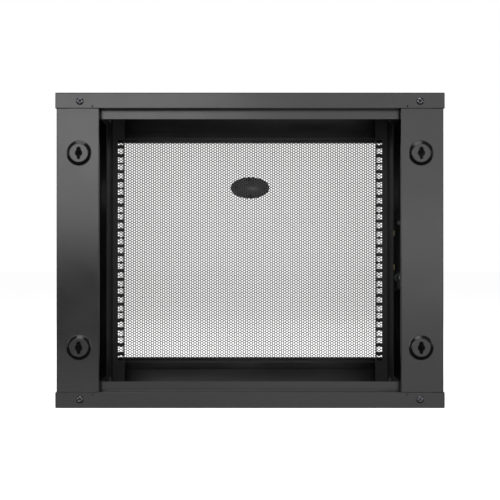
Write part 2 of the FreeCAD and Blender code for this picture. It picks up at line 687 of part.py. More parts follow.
# Oval badge on the front of the perforated sheet, with push fixings through the sheet
BADGE_Z = f"({MIDDLE} + badge_rise)"
badge = doc.addObject("Part::Ellipse", "BadgeOutline")
badge.setExpression("MajorRadius", bound("badge_width/2"))
badge.setExpression("MinorRadius", bound("badge_height/2"))
badge_solid = doc.addObject("Part::Extrusion", "BadgeSolid")
badge_solid.Base = badge
badge_solid.DirMode = "Custom"
badge_solid.Dir = V(0, 0, 1)
badge_solid.Solid = True
badge_solid.setExpression("LengthFwd", bound("badge_gauge"))
place(badge_solid, "0", SKIN, BADGE_Z, (1, 0, 0), 90)
group("badge_plate", [badge_solid])
FIXINGS = (("25.6", "0"), ("-25.6", "0"), ("0", "14.8"), ("0", "-14.8"))
fixings = []
for dx, dz in FIXINGS:
    fixing = primitive("Cone", Radius1="2.2", Radius2="1.4", Height="1.2")
    fixings.append(place(fixing, dx, MESH_BACK, f"({BADGE_Z} + {dz})", *HEAD_REAR))
group("badge_fixings", fixings)


# Hinge pieces ---------------------------------------------------------------------------------

BRACKET_SCREWS = (("14", "10"), ("14", "33"), ("30", "21.5"))

for word, (low, high) in zip(("top", "bottom"), EAR_SPANS):
    bracket = new_body("hinge_bracket_" + word)
    plate(bracket, (f"({EAR_OUT} - ear_gauge)", EAR_OUT),
          (f"({PIN_Y} - 5)", f"({FRONT} + web - 6)"), (low, high), "X")
    plate(bracket, EAR_X, (f"({PIN_Y} - 5)", f"({FRONT} - 0.5)"), (f"({high} - ear_gauge)", high))
    disc(bracket, "Z", (PIN_X, PIN_Y), "pin_radius", (f"({high} - ear_gauge - 1)", f"({high} + 1)"),
         cut)
    for dy, dz in BRACKET_SCREWS:
        disc(bracket, "X", (f"({FRONT} + {dy})", f"({high} - {dz})"), "cover_screw_radius",
             (f"({EAR_OUT} - ear_gauge - 1)", f"({EAR_OUT} + 1)"), cut)

    pin = new_body("hinge_pin_" + word)
    disc(pin, "Z", (PIN_X, PIN_Y), "pin_radius", (f"({high} - ear_gauge - 1)", f"({high} + 9)"))

    tab = new_body("door_hinge_tab_" + word)
    tab_z = (f"({high} + tab_gap)", f"({high} + tab_gap + ear_gauge)")
    plate(tab, (f"({PIN_X} - 7)", f"({PIN_X} + 5)"), (SKIN, f"({PIN_Y} + 6)"), tab_z)
    plate(tab, (f"({PIN_X} - 22)", f"({PIN_X} + 5)"), (SKIN, f"({SKIN} + 2)"),
          (tab_z[0], f"({tab_z[0]} + 16)"), "Y")
    disc(tab, "Z", (PIN_X, PIN_Y), "pin_radius + pin_clearance",
         (f"({tab_z[0]} - 1)", f"({tab_z[1]} + 1)"), cut)

group("hinge_screws", [
    pan_screw(f"({EAR_OUT} - ear_gauge)", f"({FRONT} + {dy})", f"({high} - {dz})", HEAD_LEFT,
              "cover_screw_radius", "small_head_radius", "low_head_height", "ear_gauge")
    for low, high in EAR_SPANS for dy, dz in BRACKET_SCREWS])

BUFFER_Z = (f"({DOOR_LOW} + gauge + 1.5)", f"({DOOR_HIGH} - gauge - 1.5)")
buffers = []
for x in ("0.4*width", "-0.4*width"):
    for z in BUFFER_Z:
        pad = primitive("Cylinder", Radius="4", Height="door_gap - 0.5")
        buffers.append(place(pad, x, FRONT, z, (1, 0, 0), 90))
group("door_buffers", buffers)


# Door lock ------------------------------------------------------------------------------------

HOUSING_BACK = f"({SKIN} + 13)"
housing = new_body("lock_housing")
lock_x = (f"({LOCK_X} - lock_width/2)", f"({LOCK_X} + lock_width/2)")
add(housing, "Y", (SKIN, HOUSING_BACK), lambda s: draw_stadium(
    s, LOCK_X, f"({MIDDLE} - lock_height/2 + lock_width/2)",
    f"({MIDDLE} + lock_height/2 - lock_width/2)", "lock_width/2"))
disc(housing, "Y", (LOCK_X, LOCK_HIGH), "fix_boss", (SKIN, f"({HOUSING_BACK} + 6)"))
disc(housing, "Y", (LOCK_X, LOCK_LOW), "lock_boss - 0.2", (SKIN, f"({HOUSING_BACK} + 3)"))
opening_cut(housing, (f"({lock_x[0]} + 3)", f"({lock_x[1]} - 3)"), (f"({SKIN} + 8)", f"({HOUSING_BACK} + 1)"),
            (f"({LOCK_LOW} + lock_boss + 3)", f"({LOCK_HIGH} - fix_boss - 3)"), "Y")
disc(housing, "Y", (LOCK_X, LOCK_HIGH), "5", (f"({SKIN} + 6)", f"({HOUSING_BACK} + 7)"), cut)
disc(housing, "Y", (LOCK_X, LOCK_HIGH), "thread_radius", (f"({SKIN} - 1)", f"({SKIN} + 7)"), cut)
disc(housing, "Y", (LOCK_X, LOCK_LOW), "barrel_radius", (f"({SKIN} - 1)", f"({HOUSING_BACK} + 4)"), cut)

PULL_FRONT = f"({DOOR} - 4)"
pull = new_body("lock_plate")
add(pull, "Y", (PULL_FRONT, DOOR), lambda s: draw_stadium(
    s, LOCK_X, f"({MIDDLE} - lock_height/2 + lock_width/2)",
    f"({MIDDLE} + lock_height/2 - lock_width/2)", "lock_width/2"))
add(pull, "Y", (f"({PULL_FRONT} - 9)", f"({PULL_FRONT} - 4)"), lambda s: draw_stadium(
    s, LOCK_X, f"({MIDDLE} - 18)", f"({MIDDLE} + 62)", "7"))
for z in (f"({MIDDLE} - 18)", f"({MIDDLE} + 62)"):
    disc(pull, "Y", (LOCK_X, z), "6", (f"({PULL_FRONT} - 5)", PULL_FRONT))
disc(pull, "Y", (LOCK_X, LOCK_LOW), "barrel_radius", (f"({PULL_FRONT} - 1)", f"({DOOR} + 1)"), cut)
disc(pull, "Y", (LOCK_X, LOCK_HIGH), "thread_radius", (f"({DOOR} - 3)", f"({DOOR} + 1)"), cut)

fixing_screw = pan_screw(LOCK_X, f"({SKIN} + 6)", LOCK_HIGH, HEAD_REAR, "thread_radius", "4.6", "3",
                         "6 + gauge + 3")
group("lock_fixing_screw", [fixing_screw])

clips = []
for sign in ("+", "-"):
    clip = new_body("clip_" + ("upper" if sign == "+" else "lower"))
    PARTS.remove(clip)
    z = f"({MIDDLE} {sign} 31)"
    edge = lock_x[1]
    plate(clip, (f"({edge} - 4.5)", edge), (HOUSING_BACK, f"({HOUSING_BACK} + 1.2)"),
          (f"({z} - 5)", f"({z} + 5)"), "Y")
    plate(clip, (f"({edge} - 1.2)", edge), (f"({HOUSING_BACK})", f"({HOUSING_BACK} + 5)"),
          (f"({z} - 5)", f"({z} - 2.4)"), "X")
    plate(clip, (f"({edge} - 1.2)", edge), (f"({HOUSING_BACK})", f"({HOUSING_BACK} + 5)"),
          (f"({z} + 2.4)", f"({z} + 5)"), "X")
    clips.append(clip)
group("lock_clips", clips)

BARREL_BACK = f"({HOUSING_BACK} + 4.5)"
CAM_FRONT = f"({FRONT} + gauge + cam_gap)"
CAM_BACK = f"({CAM_FRONT} + cam_gauge)"
PLUG_FRONT = f"({PULL_FRONT} - 1)"
barrel = new_body("lock_barrel")
disc(barrel, "Y", (LOCK_X, LOCK_LOW), "barrel_radius", (PULL_FRONT, BARREL_BACK))
disc(barrel, "Y", (LOCK_X, LOCK_LOW), "barrel_radius + 2", (f"({PULL_FRONT} - 1.5)", PULL_FRONT))
disc(barrel, "Y", (LOCK_X, LOCK_LOW), "plug_radius + plug_clearance",
     (f"({PULL_FRONT} - 2.5)", f"({BARREL_BACK} + 1)"), cut)


def key_plug(label, axis, centre, face, back):
    """A round plug with a key slot in its face."""
    body = new_body(label)
    disc(body, axis, centre, "plug_radius", (face, back))
    sign = "+" if number(back) > number(face) else "-"
    inner = f"({face} {sign} 5)"
    outer = f"({face} {'-' if sign == '+' else '+'} 1)"
    u, v = centre
    cut(body, axis, (outer, inner), lambda s: draw_rectangle(
        s, (f"({u} - 0.9)", f"({u} + 0.9)"), (f"({v} - 3.6)", f"({v} + 3.6)")))
    return body


key_plug("key_plug", "Y", (LOCK_X, LOCK_LOW), PLUG_FRONT, CAM_FRONT)
cam = new_body("lock_cam")
disc(cam, "Y", (LOCK_X, LOCK_LOW), "cam_width/2 + 1.5", (CAM_FRONT, CAM_BACK))
plate(cam, (f"({LOCK_X} - cam_width/2)", f"({LOCK_X} + cam_width/2)"), (CAM_FRONT, CAM_BACK),
      (f"({LOCK_LOW} - cam_length)", LOCK_LOW), "Y")
disc(cam, "Y", (LOCK_X, LOCK_LOW), "2", (f"({CAM_FRONT} - 1)", f"({CAM_BACK} + 1)"), cut)
group("cam_screw", [pan_screw(LOCK_X, CAM_BACK, LOCK_LOW, HEAD_REAR, "cover_screw_radius",
                              "cam_head_radius", "cam_head_height", "cam_gauge")])


# Side panels ------------------------------------------------------------------------------------

PANEL_Y = (f"({FRONT} + web + panel_gap)", f"({REAR} - web - panel_gap)")
PANEL_Z = ("(flange_drop + panel_gap)", f"({TALL} - flange_drop - panel_gap)")
PANEL_MID = f"(({PANEL_Y[0]} + {PANEL_Y[1]})/2)"
PANEL_LOCK_Z = f"({PANEL_Z[1]} - panel_lock_drop)"
PANEL_IN = f"({SIDE} - panel_gauge)"
NOTCH_HALF = "(cam_width/2 + 4)"


def side_panel(side, word):
    """A lift-out panel with turned-in edges, which tips out about its bottom edge."""
    body = new_body("side_panel_" + word)
    skin = sides(side, PANEL_IN, SIDE)
    deep = sides(side, f"{SIDE} - panel_return", SIDE)
    plate(body, skin, PANEL_Y, PANEL_Z, "X")

    def ring(sketch):
        for inset in ("0", "panel_gauge"):
            draw_rectangle(sketch, (f"({PANEL_Y[0]} + {inset})", f"({PANEL_Y[1]} - {inset})"),
                           (f"({PANEL_Z[0]} + {inset})", f"({PANEL_Z[1]} - {inset})"))
    add(body, "X", deep, ring)
    opening_cut(body, sides(side, f"{SIDE} - panel_return - 1", PANEL_IN),
                (f"({PANEL_MID} - {NOTCH_HALF})", f"({PANEL_MID} + side_cam_length)"),
                (f"({PANEL_Z[1]} - panel_gauge - 1)", f"({PANEL_Z[1]} + 1)"), "X")

    def vents(sketch):
        for row in range(3):
            for column in range(-3, 4):
                z = f"({MIDDLE} + 96 + {row}*16)"
                y = f"({PANEL_MID} + ({column})*32)"
                draw_rectangle(sketch, (f"({y} - 12)", f"({y} + 12)"), (f"({z} - 2.5)", f"({z} + 2.5)"))
    through = sides(side, f"{PANEL_IN} - 1", f"{SIDE} + 1")
    cut(body, "X", through, vents)
    disc(body, "X", (PANEL_MID, PANEL_LOCK_Z), "barrel_radius", through, cut)

    barrel = new_body("side_lock_barrel_" + word)
    centre = (PANEL_MID, PANEL_LOCK_Z)
    disc(barrel, "X", centre, "barrel_radius", sides(side, f"{SIDE} - 11", SIDE))
    disc(barrel, "X", centre, "barrel_radius + 2", sides(side, SIDE, f"{SIDE} + 1.5"))
    disc(barrel, "X", centre, "plug_radius + plug_clearance",
         sides(side, f"{SIDE} - 12", f"{SIDE} + 2.5"), cut)
    key_plug("side_key_plug_" + word, "X", centre, mirrored(side, f"{SIDE} + 1"),
             mirrored(side, f"{SIDE} - 11.5"))

    cam = new_body("side_cam_" + word)
    root = sides(side, f"{SIDE} - 11.5 - cam_gauge", f"{SIDE} - 11.5")
    tip = sides(side, f"{PANEL_IN} - 0.6 - cam_gauge", f"{PANEL_IN} - 0.6")
    riser = sides(side, f"{SIDE} - 11.5 - cam_gauge", f"{PANEL_IN} - 0.6")
    z = (f"({PANEL_LOCK_Z} - cam_width/2)", f"({PANEL_LOCK_Z} + cam_width/2)")
    disc(cam, "X", centre, "cam_width/2 + 1.5", root)
    plate(cam, root, (PANEL_MID, f"({PANEL_MID} + 16)"), z, "X")
    plate(cam, riser, (f"({PANEL_MID} + 16 - cam_gauge)", f"({PANEL_MID} + 16)"), z, "Y")
    plate(cam, tip, (f"({PANEL_MID} + 16 - cam_gauge)", f"({PANEL_MID} + side_cam_length)"), z, "X")
    disc(cam, "X", centre, "2", sides(side, f"{SIDE} - 12.5 - cam_gauge", f"{SIDE} - 11"), cut)
    group("side_cam_screw_" + word, [pan_screw(
        mirrored(side, f"{SIDE} - 11.5 - cam_gauge"), PANEL_MID, PANEL_LOCK_Z,
        HEAD_LEFT if side > 0 else HEAD_RIGHT, "cover_screw_radius", "cam_head_radius",
        "cam_head_height", "cam_gauge")])


side_panel(-1, "left")
side_panel(1, "right")


# Checks and export --------------------------------------------------------------------------------

doc.recompute()
for thing in doc.Objects:
    if any(word in thing.State for word in ("Invalid", "Error")):
        raise RuntimeError(f"{thing.Name} ({thing.Label}) failed: {thing.State}")
for feature in CUTS:
    if feature.Shape.Volume >= feature.BaseFeature.Shape.Volume - 0.01:
        raise RuntimeError(f"{feature.Name} cuts nothing")
os.makedirs("parts", exist_ok=True)
for part in PARTS:
    if part.Shape.isNull() or not part.Shape.isValid():
        raise RuntimeError(f"{part.Label} has no sound shape")
    part.Shape.exportStep(f"parts/{part.Label}.step")
print(len(PARTS), "parts written")
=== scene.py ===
# %% [markdown]
# # A wall-mount network cabinet, seen from its open back
# The cabinet is bent steel sheet under a fine-textured charcoal powder coat. Its frame, rails, door and
# fasteners come from the design as a fixed frame. This file gives them their finishes, punches the door's
# sheet, turns the visible screws and moulds the badge, and then lights and films the result.

# %% Load the fixed frame
import json
import math

import bmesh
import bpy
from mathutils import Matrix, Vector


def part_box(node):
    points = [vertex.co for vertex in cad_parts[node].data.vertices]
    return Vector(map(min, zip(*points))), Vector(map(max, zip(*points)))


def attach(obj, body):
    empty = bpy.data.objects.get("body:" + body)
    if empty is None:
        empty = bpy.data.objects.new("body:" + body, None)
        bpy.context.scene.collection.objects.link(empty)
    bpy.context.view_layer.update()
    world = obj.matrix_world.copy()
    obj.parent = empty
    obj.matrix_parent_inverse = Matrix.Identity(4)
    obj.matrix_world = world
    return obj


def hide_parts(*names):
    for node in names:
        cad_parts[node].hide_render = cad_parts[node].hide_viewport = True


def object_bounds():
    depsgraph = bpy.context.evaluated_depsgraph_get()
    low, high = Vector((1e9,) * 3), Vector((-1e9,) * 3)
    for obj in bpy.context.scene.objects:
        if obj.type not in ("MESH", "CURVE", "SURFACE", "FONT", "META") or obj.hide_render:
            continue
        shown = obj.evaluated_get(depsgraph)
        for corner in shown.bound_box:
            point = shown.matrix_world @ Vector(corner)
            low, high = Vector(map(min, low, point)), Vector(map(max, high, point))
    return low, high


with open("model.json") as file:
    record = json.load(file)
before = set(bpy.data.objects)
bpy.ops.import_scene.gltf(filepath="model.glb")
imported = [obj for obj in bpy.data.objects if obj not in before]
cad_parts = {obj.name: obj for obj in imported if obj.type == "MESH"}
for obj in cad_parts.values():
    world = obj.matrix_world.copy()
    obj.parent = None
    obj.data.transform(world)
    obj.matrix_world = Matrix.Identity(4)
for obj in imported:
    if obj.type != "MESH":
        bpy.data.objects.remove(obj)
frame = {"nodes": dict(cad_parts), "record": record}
CAD_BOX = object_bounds()
MM = 0.001

# %% [markdown]
# ## Colours and nodes
# A colour picker shows sRGB values, while the renderer adds light in linear values, so one function turns
# the first into the second. Another small function adds a node, sets it up and links it, which keeps every
# material below short enough to read in one glance.


# %% Helpers for colours, nodes and links
def colour(code):
    """Turns an sRGB code such as '#2b2b2d' into linear red, green, blue and alpha."""
    values = [int(code[k:k + 2], 16) / 255 for k in (1, 3, 5)]
    linear = [v / 12.92 if v <= 0.04045 else ((v + 0.055) / 1.055) ** 2.4 for v in values]
    return (*linear, 1.0)


def node(tree, kind, inputs=None, **settings):
    """Adds a node; an input given as a socket is linked, anything else is its value."""
    made = tree.nodes.new(kind)
    for name, value in settings.items():
        setattr(made, name, value)
    for name, value in (inputs or {}).items():
        if isinstance(value, bpy.types.NodeSocket):
            tree.links.new(value, made.inputs[name])
        else:
            made.inputs[name].default_value = value
    return made


def new_material(name, **shader):
    """A material with one Principled shader, its constants set on the shader's own sockets."""
    material = bpy.data.materials.new(name)
    material.use_nodes = True
    tree = material.node_tree
    tree.nodes.clear()
    surface = node(tree, "ShaderNodeBsdfPrincipled", shader)
    node(tree, "ShaderNodeOutputMaterial", {"Surface": surface.outputs["BSDF"]})
    place = node(tree, "ShaderNodeTexCoord").outputs["Object"]
    return material, tree, surface, place


def grains(tree, place, size_mm, detail=2.0, rough=0.5):
    """Soft random spots of a real size, from the object's own coordinates."""
    made = node(tree, "ShaderNodeTexNoise", {
        "Vector": place, "Scale": 1 / (size_mm * MM), "Detail": detail, "Roughness": rough})
    return made.outputs["Fac"]


def spread(tree, value, low, high):
    """Maps a 0 to 1 pattern onto another range."""
    return node(tree, "ShaderNodeMapRange", {
        "Value": value, "From Min": 0.3, "From Max": 0.7, "To Min": low, "To Max": high,
    }).outputs["Result"]


def bump(tree, surface, height, depth_mm, strength):
    """Raises the surface by a pattern, its depth given in millimetres."""
    made = node(tree, "ShaderNodeBump", {
        "Height": height, "Distance": depth_mm * MM, "Strength": strength})
    tree.links.new(made.outputs["Normal"], surface.inputs["Normal"])


def tint(tree, surface, pattern, dark, light):
    """Lets a pattern choose between two shades of the same colour."""
    ramp = node(tree, "ShaderNodeMix", {"Factor": pattern}, data_type="RGBA")
    ramp.inputs[6].default_value = colour(dark)
    ramp.inputs[7].default_value = colour(light)
    tree.links.new(ramp.outputs[2], surface.inputs["Base Color"])


# %% [markdown]
# ## Powder coat
# Steel enclosures are sprayed with dry polyester powder, which melts in an oven into a skin about 0.08 mm
# thick. The fine-textured kind has pimples a little under a millimetre across. They spread a highlight
# into a soft sheen, so broad lights leave long gradients on the flat flanges. The pimples are drawn near
# one millimetre here, because smaller ones would vanish at this distance.

# %% Powder coat in three shades
def powder_coat(name, dark, light, roughness, depth_mm=0.025):
    material, tree, surface, place = new_material(name, IOR=1.5)
    fine = grains(tree, place, 0.9, detail=3.0)
    broad = grains(tree, place, 60.0, detail=3.0)
    tint(tree, surface, broad, dark, light)
    worn = node(tree, "ShaderNodeMath", {0: fine, 1: broad}, operation="ADD")
    half = node(tree, "ShaderNodeMath", {0: worn.outputs[0], 1: 0.5}, operation="MULTIPLY")
    surface_rough = spread(tree, half.outputs[0], roughness - 0.05, roughness + 0.06)
    tree.links.new(surface_rough, surface.inputs["Roughness"])
    bump(tree, surface, fine, depth_mm, 0.35)
    return material


CARCASS_COAT = powder_coat("powder_coat_charcoal", "#171717", "#1d1d1d", 0.2)
RAIL_COAT = powder_coat("powder_coat_rail", "#131313", "#181818", 0.42)
MESH_COAT = powder_coat("powder_coat_perforated", "#1b1b1b", "#222222", 0.34, 0.03)

# %% [markdown]
# ## Plated metals
# Screws, nuts and pins are zinc plated: bright and slightly blue where it is clear-passivated, straw
# yellow where it is chromated, and dark grey where it is passivated black, as on the rear flanges. Small
# parts are plated in a tumbling barrel, which leaves faint scuffs.
# The lock's visible faces are chromed die castings, smoother and brighter than zinc.


# %% Plated metals
def plated_metal(name, dark, light, rough_low, rough_high, grain_mm):
    material, tree, surface, place = new_material(name, Metallic=1.0)
    scuffs = grains(tree, place, grain_mm, detail=4.0, rough=0.65)
    tint(tree, surface, scuffs, dark, light)
    tree.links.new(spread(tree, scuffs, rough_low, rough_high), surface.inputs["Roughness"])
    bump(tree, surface, scuffs, 0.02, 0.35)
    return material


BRIGHT_ZINC = plated_metal("bright_zinc_plate", "#8f9296", "#c4c7ca", 0.24, 0.42, 2.0)
YELLOW_ZINC = plated_metal("yellow_chromate_zinc", "#c9b274", "#efe2b4", 0.26, 0.44, 2.5)
DARK_ZINC = plated_metal("black_zinc_plate", "#4a4a4d", "#6e6e72", 0.2, 0.34, 2.0)
CHROME = plated_metal("satin_chrome_casting", "#a9abad", "#cfd1d2", 0.16, 0.28, 3.0)

# %% [markdown]
# ## Plastics and rubber
# The lock body is glass-filled nylon, whose mould was spark-eroded to a dull grain. The badge is glossier
# ABS. Door buffers are soft black rubber with almost no sheen.


# %% Mouldings
def moulding(name, dark, light, rough_low, rough_high, grain_mm, depth_mm, ior=1.49):
    material, tree, surface, place = new_material(name, IOR=ior)
    grain = grains(tree, place, grain_mm, detail=2.5)
    tint(tree, surface, grains(tree, place, grain_mm * 25), dark, light)
    tree.links.new(spread(tree, grain, rough_low, rough_high), surface.inputs["Roughness"])
    bump(tree, surface, grain, depth_mm, 0.5)
    return material


NYLON = moulding("spark_grained_nylon", "#1b1b1c", "#252527", 0.42, 0.56, 0.7, 0.04, 1.53)
BADGE_ABS = moulding("satin_badge_abs", "#262728", "#303132", 0.26, 0.36, 1.2, 0.015, 1.54)
RUBBER = moulding("matt_rubber", "#151516", "#1d1d1e", 0.75, 0.9, 0.8, 0.03, 1.52)

# %% [markdown]
# ## Finishes on the frame's own parts
# Every part that the design made keeps its mesh and takes the finish of its material slot. Their slots
# are named in the record, so one table joins the two.

# %% Give each carried-over part its finish
FINISHES = {
    "carcass": CARCASS_COAT, "rails": RAIL_COAT, "door": CARCASS_COAT, "mesh": MESH_COAT,
    "panels": CARCASS_COAT, "bright_zinc": BRIGHT_ZINC, "yellow_zinc": YELLOW_ZINC,
    "black_zinc": DARK_ZINC, "lock_black": NYLON, "badge": BADGE_ABS, "chrome": CHROME,
    "buffer_rubber": RUBBER,
}
for entry in frame["record"]["subparts"]:
    part = frame["nodes"][entry["node"]]
    part.data.materials.clear()
    part.data.materials.append(FINISHES[entry["material_slot"]])
print("finished", len(frame["nodes"]), "carried-over parts")

# %% [markdown]
# ## Meshes that stay put
# A finished piece has its object at the origin and its place in its vertices. Geometry Nodes results are
# turned into plain meshes the same way, so that they export whole and follow their bodies.


# %% Helpers for meshes
def keep(name, mesh, body, slot, *replaced):
    """Makes an object of a finished mesh and hands it to its body."""
    piece = bpy.data.objects.new(name, mesh)
    bpy.context.scene.collection.objects.link(piece)
    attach(piece, body)
    if replaced:
        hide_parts(*replaced)


def mesh_from(bm, name, material=None, smooth=False):
    mesh = bpy.data.meshes.new(name)
    bmesh.ops.recalc_face_normals(bm, faces=bm.faces)
    bm.to_mesh(mesh)
    bm.free()
    if material:
        mesh.materials.append(material)
    for face in mesh.polygons:
        face.use_smooth = smooth
    return mesh


def scratch_object(name, mesh):
    thing = bpy.data.objects.new(name, mesh)
    bpy.context.scene.collection.objects.link(thing)
    return thing


def new_geometry_tree(name, inputs):
    """An empty geometry tree with a mesh output and named inputs, each of the given kind."""
    tree = bpy.data.node_groups.new(name, "GeometryNodeTree")
    tree.interface.new_socket("Geometry", in_out="INPUT", socket_type="NodeSocketGeometry")
    tree.interface.new_socket("Geometry", in_out="OUTPUT", socket_type="NodeSocketGeometry")
    for label, kind in inputs.items():
        tree.interface.new_socket(label, in_out="INPUT", socket_type="NodeSocket" + kind)
    given = node(tree, "NodeGroupInput").outputs
    return tree, given


def finish_tree(tree, given, geometry, merge=0.0):
    """Realizes the instances, joins their shared edges, sets the material and ends the tree."""
    whole = node(tree, "GeometryNodeRealizeInstances", {"Geometry": geometry}).outputs["Geometry"]
    if merge:
        whole = node(tree, "GeometryNodeMergeByDistance",
                     {"Geometry": whole, "Distance": merge}).outputs["Geometry"]
    coated = node(tree, "GeometryNodeSetMaterial", {"Geometry": whole,
                                                    "Material": given["Material"]})
    node(tree, "NodeGroupOutput", {"Geometry": coated.outputs["Geometry"]})


def grow(tree, sizes, name):
    """Runs a geometry tree on an empty mesh and returns what it makes as a plain mesh."""
    host = scratch_object(name, bpy.data.meshes.new(name))
    run = host.modifiers.new("run", "NODES")
    run.node_group = tree
    labels = {s.name: s.identifier for s in tree.interface.items_tree if s.in_out == "INPUT"}
    for label, value in sizes.items():
        run[labels[label]] = value
    ready = host.evaluated_get(bpy.context.evaluated_depsgraph_get())
    mesh = bpy.data.meshes.new_from_object(ready)
    host.modifiers.remove(run)
    bpy.data.objects.remove(host)
    return mesh


# %% [markdown]
# ## The perforated sheet
# The door breathes through a sheet punched with hexagonal holes, packed like a honeycomb so that the
# bridges between them are equally wide. One cell is a hexagonal ring: outside it touches its neighbours,
# inside it is the wall of its own hole. Geometry Nodes set that cell on a staggered lattice. The sheet
# is about half open, so light shows through it while the cabinet's inside stays dark.

# %% One cell of the perforated sheet
HOLE_PITCH = 4.8 * MM
BRIDGE = 1.31 * MM
COLUMN_STEP = HOLE_PITCH * math.sin(math.radians(60))
SHEET_LOW, SHEET_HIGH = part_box("door_mesh")
RETAINER_LOW, RETAINER_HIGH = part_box("mesh_retainer")


def cell_mesh():
    """A hexagonal ring as thick as the sheet, open where it touches its neighbours."""
    bm = bmesh.new()
    outer = HOLE_PITCH / math.sqrt(3)
    inner = (HOLE_PITCH - BRIDGE) / math.sqrt(3)
    rings = []
    for radius, y in ((outer, SHEET_LOW.y), (inner, SHEET_LOW.y),
                      (inner, SHEET_HIGH.y), (outer, SHEET_HIGH.y)):
        turns = [math.radians(60 * k) for k in range(6)]
        rings.append([bm.verts.new((radius * math.cos(t), y, radius * math.sin(t)))
                      for t in turns])
    for near, far in zip(rings, rings[1:]):
        for k in range(6):
            bm.faces.new((near[k], near[(k + 1) % 6], far[(k + 1) % 6], far[k]))
    return mesh_from(bm, "hexagon_cell")


CELL = scratch_object("hexagon_cell", cell_mesh())


# %% A tree that lays cells on a staggered lattice
def lattice_tree():
    tree, given = new_geometry_tree("staggered_lattice", {
        "Cell": "Object", "Material": "Material", "First column": "Int", "Columns": "Int",
        "Rows": "Int", "Pitch": "Float", "Column step": "Float", "Left": "Float",
        "Bottom": "Float"})
    count = node(tree, "ShaderNodeMath", {0: given["Columns"], 1: given["Rows"]},
                 operation="MULTIPLY").outputs[0]
    points = node(tree, "GeometryNodeMeshLine", {"Count": count, "Offset": (0.0, 0.0, 0.0)})
    index = node(tree, "GeometryNodeInputIndex").outputs["Index"]
    in_row = node(tree, "ShaderNodeMath", {0: index, 1: given["Columns"]}, operation="MODULO")
    rows_done = node(tree, "ShaderNodeMath", {0: index, 1: given["Columns"]}, operation="DIVIDE")
    level = node(tree, "ShaderNodeMath", {0: rows_done.outputs[0]}, operation="FLOOR")
    column = node(tree, "ShaderNodeMath", {0: in_row.outputs[0], 1: given["First column"]},
                  operation="ADD")
    odd = node(tree, "ShaderNodeMath", {0: column.outputs[0], 1: 2.0}, operation="MODULO")
    step_up = node(tree, "ShaderNodeMath", {0: odd.outputs[0], 1: 0.5, 2: level.outputs[0]},
                   operation="MULTIPLY_ADD")
    x = node(tree, "ShaderNodeMath", {0: column.outputs[0], 1: given["Column step"],
                                      2: given["Left"]}, operation="MULTIPLY_ADD")
    z = node(tree, "ShaderNodeMath", {0: step_up.outputs[0], 1: given["Pitch"],
                                      2: given["Bottom"]}, operation="MULTIPLY_ADD")
    spot = node(tree, "ShaderNodeCombineXYZ", {"X": x.outputs[0], "Z": z.outputs[0]})
    spaced = node(tree, "GeometryNodeSetPosition", {
        "Geometry": points.outputs["Mesh"], "Position": spot.outputs["Vector"]})
    cell = node(tree, "GeometryNodeObjectInfo", {"Object": given["Cell"]})
    laid = node(tree, "GeometryNodeInstanceOnPoints", {
        "Points": spaced.outputs["Geometry"], "Instance": cell.outputs["Geometry"]})
    finish_tree(tree, given, laid.outputs["Instances"], merge=0.02 * MM)
    return tree


# %% Punch the sheet in two halves
SIDE_BORDER = 10 * MM     # unpunched metal at the sheet's left and right edges
END_BORDER = 4.0 * MM     # and between the retainer's outline and the first and last holes
WINDOW_X = SHEET_HIGH.x - SIDE_BORDER
WINDOW_LOW = RETAINER_LOW.z + END_BORDER
WINDOW_HIGH = RETAINER_HIGH.z - END_BORDER
ROWS = int((WINDOW_HIGH - WINDOW_LOW) / HOLE_PITCH) + 1
COLUMNS = int(2 * WINDOW_X / COLUMN_STEP)
LATTICE = lattice_tree()
FIRST_X = -(COLUMNS - 1) / 2 * COLUMN_STEP
FIRST_Z = (WINDOW_LOW + WINDOW_HIGH) / 2 - (ROWS - 0.5) / 2 * HOLE_PITCH


def half_sheet(name, first, columns):
    mesh = grow(LATTICE, {
        "Cell": CELL, "Material": MESH_COAT, "First column": first, "Columns": columns,
        "Rows": ROWS, "Pitch": HOLE_PITCH, "Column step": COLUMN_STEP,
        "Left": FIRST_X, "Bottom": FIRST_Z}, name)
    print(name, len(mesh.polygons), "faces")
    return mesh


HALF_COLUMNS = COLUMNS // 2
SHEETS = [half_sheet("perforated_sheet_left", 0, HALF_COLUMNS),
          half_sheet("perforated_sheet_right", HALF_COLUMNS, COLUMNS - HALF_COLUMNS)]
bpy.data.objects.remove(CELL)


# %% The plain border round the holes
def frame_ring(low, high, hole_low, hole_high, y_low, y_high, name, material):
    """A flat picture frame standing in the XZ plane, closed on all sides."""
    bm = bmesh.new()
    loops = []
    for (x0, z0), (x1, z1), y in ((low, high, y_low), (hole_low, hole_high, y_low),
                                  (hole_low, hole_high, y_high), (low, high, y_high)):
        loops.append([bm.verts.new(c) for c in ((x0, y, z0), (x1, y, z0), (x1, y, z1), (x0, y, z1))])
    for k in range(4):
        near, far = loops[k], loops[(k + 1) % 4]
        for c in range(4):
            bm.faces.new((near[c], near[(c + 1) % 4], far[(c + 1) % 4], far[c]))
    return mesh_from(bm, name, material)


THIN = 0.05 * MM      # keeps the border's faces just inside the punched faces that lie over it
ring = frame_ring(
    (SHEET_LOW.x, SHEET_LOW.z), (SHEET_HIGH.x, SHEET_HIGH.z),
    (FIRST_X - BRIDGE * 0.6, FIRST_Z - 0.2 * MM),
    (-FIRST_X + BRIDGE * 0.6, FIRST_Z + (ROWS - 0.5) * HOLE_PITCH + 0.2 * MM),
    SHEET_LOW.y + THIN, SHEET_HIGH.y - THIN, "perforated_sheet_border", MESH_COAT)
print("holes:", COLUMNS * ROWS)

keep("perforated_sheet_left", SHEETS[0], "door", "mesh", "door_mesh")
keep("perforated_sheet_right", SHEETS[1], "door", "mesh")
keep("perforated_sheet_border", ring, "door", "mesh")

